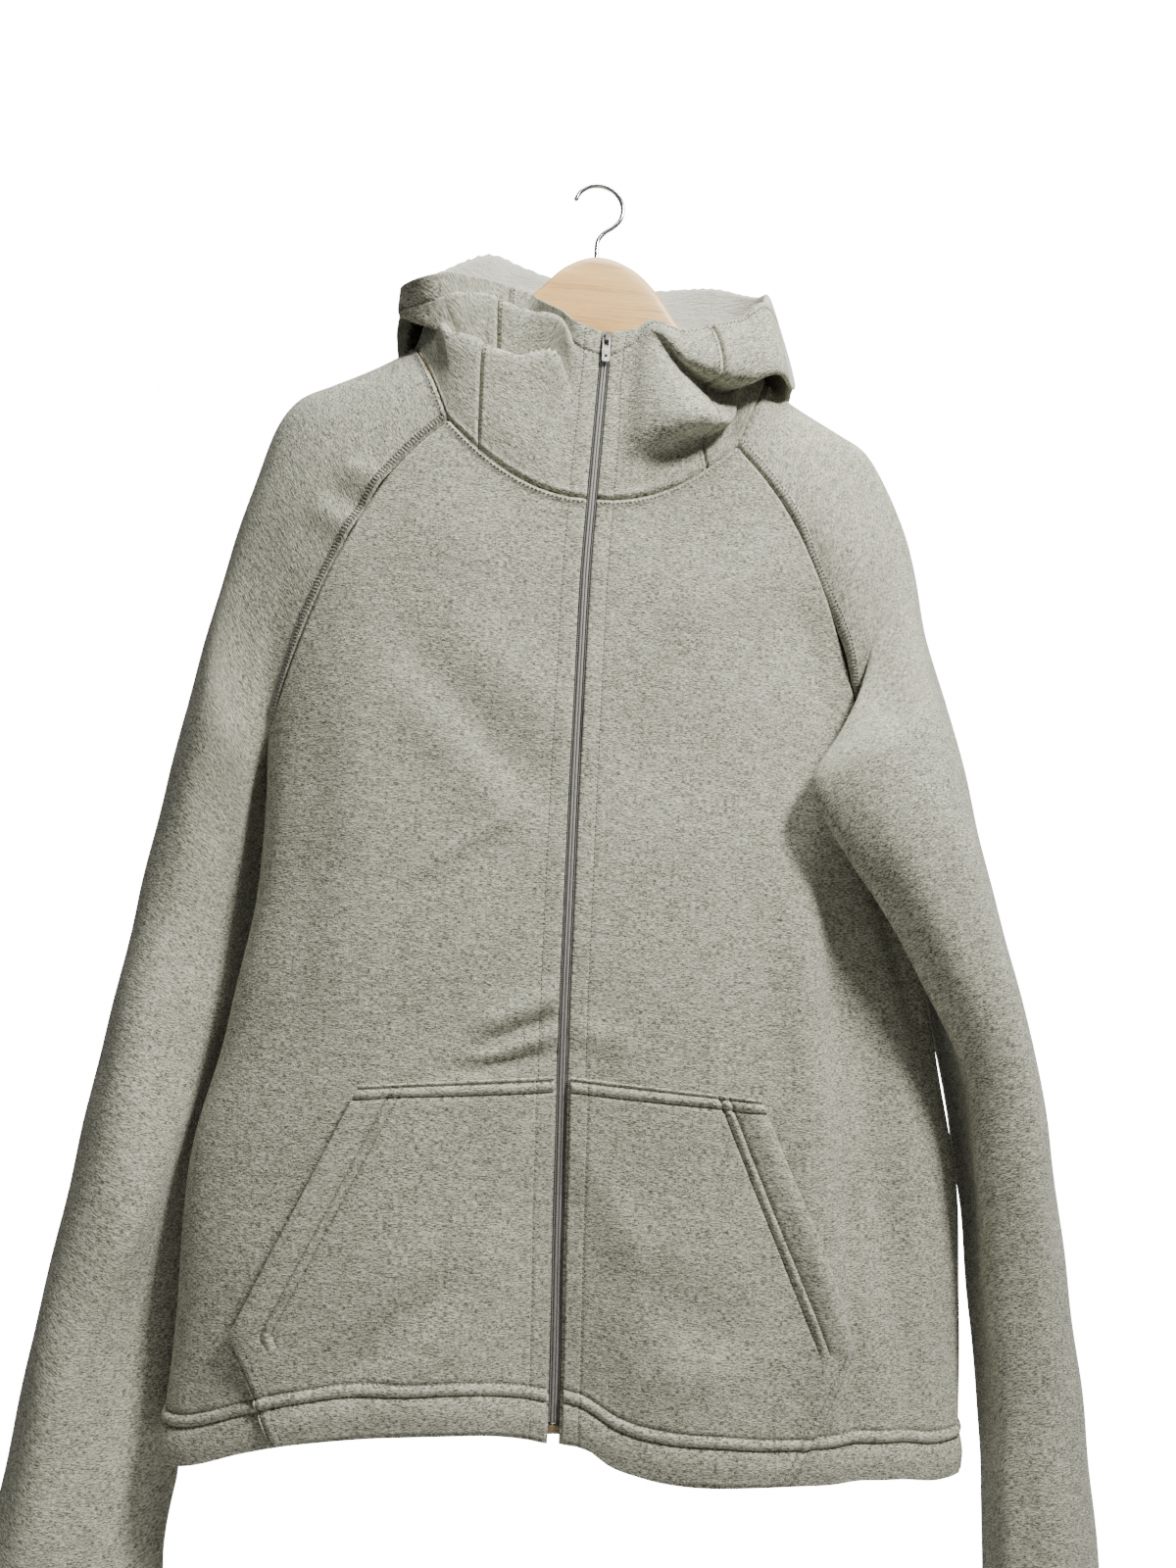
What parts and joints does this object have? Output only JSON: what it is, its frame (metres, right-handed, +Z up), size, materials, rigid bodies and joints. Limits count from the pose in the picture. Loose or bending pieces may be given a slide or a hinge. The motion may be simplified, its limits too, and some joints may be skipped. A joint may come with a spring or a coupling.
{
  "type": "zip up hoodie on a wooden hanger",
  "caption": "Long raglan hoodie of brushed marl fleece with full zip, high folded hood, slanted kangaroo pockets and thumb openings, hanging on a wooden hanger.",
  "frame": {"origin": "underside of the hanger hook's crown, where a rail carries it", "axes": "+Z up, the front of the garment faces -Y, +X is the wearer's left"},
  "size_m": [0.7364, 0.1987, 1.0495],
  "materials": {
    "fleece": "brushed marl",
    "zip_tape": "woven",
    "zip_coil": "matte",
    "zip_metal": "satin",
    "stop_metal": "satin",
    "wood": "clear lacquer",
    "hook_metal": "polished"
  },
  "bodies": {
    "garment": {"front_right": "fleece", "front_left": "fleece", "back": "fleece", "sleeve_right": "fleece", "sleeve_left": "fleece", "collar_right": "fleece", "collar_left": "fleece", "hood_right": "fleece", "hood_left": "fleece", "pocket_right": "fleece", "pocket_left": "fleece", "zip_tape_right": "zip_tape", "zip_tape_left": "zip_tape", "zip_chain": "zip_coil", "zip_slider": "zip_metal", "zip_stop": "stop_metal", "hanger_wood": "wood", "hanger_hook": "hook_metal"},
    "pull_tab": {"zip_pull": "zip_metal"}
  },
  "joints": [
    {"name": "pull_tab_hinge", "type": "hinge", "parent": "garment", "child": "pull_tab", "pos_m": [0.00477, -0.06145, -0.1606], "axis": [-1, 0, 0], "range_deg": [0, 150]}
  ]
}
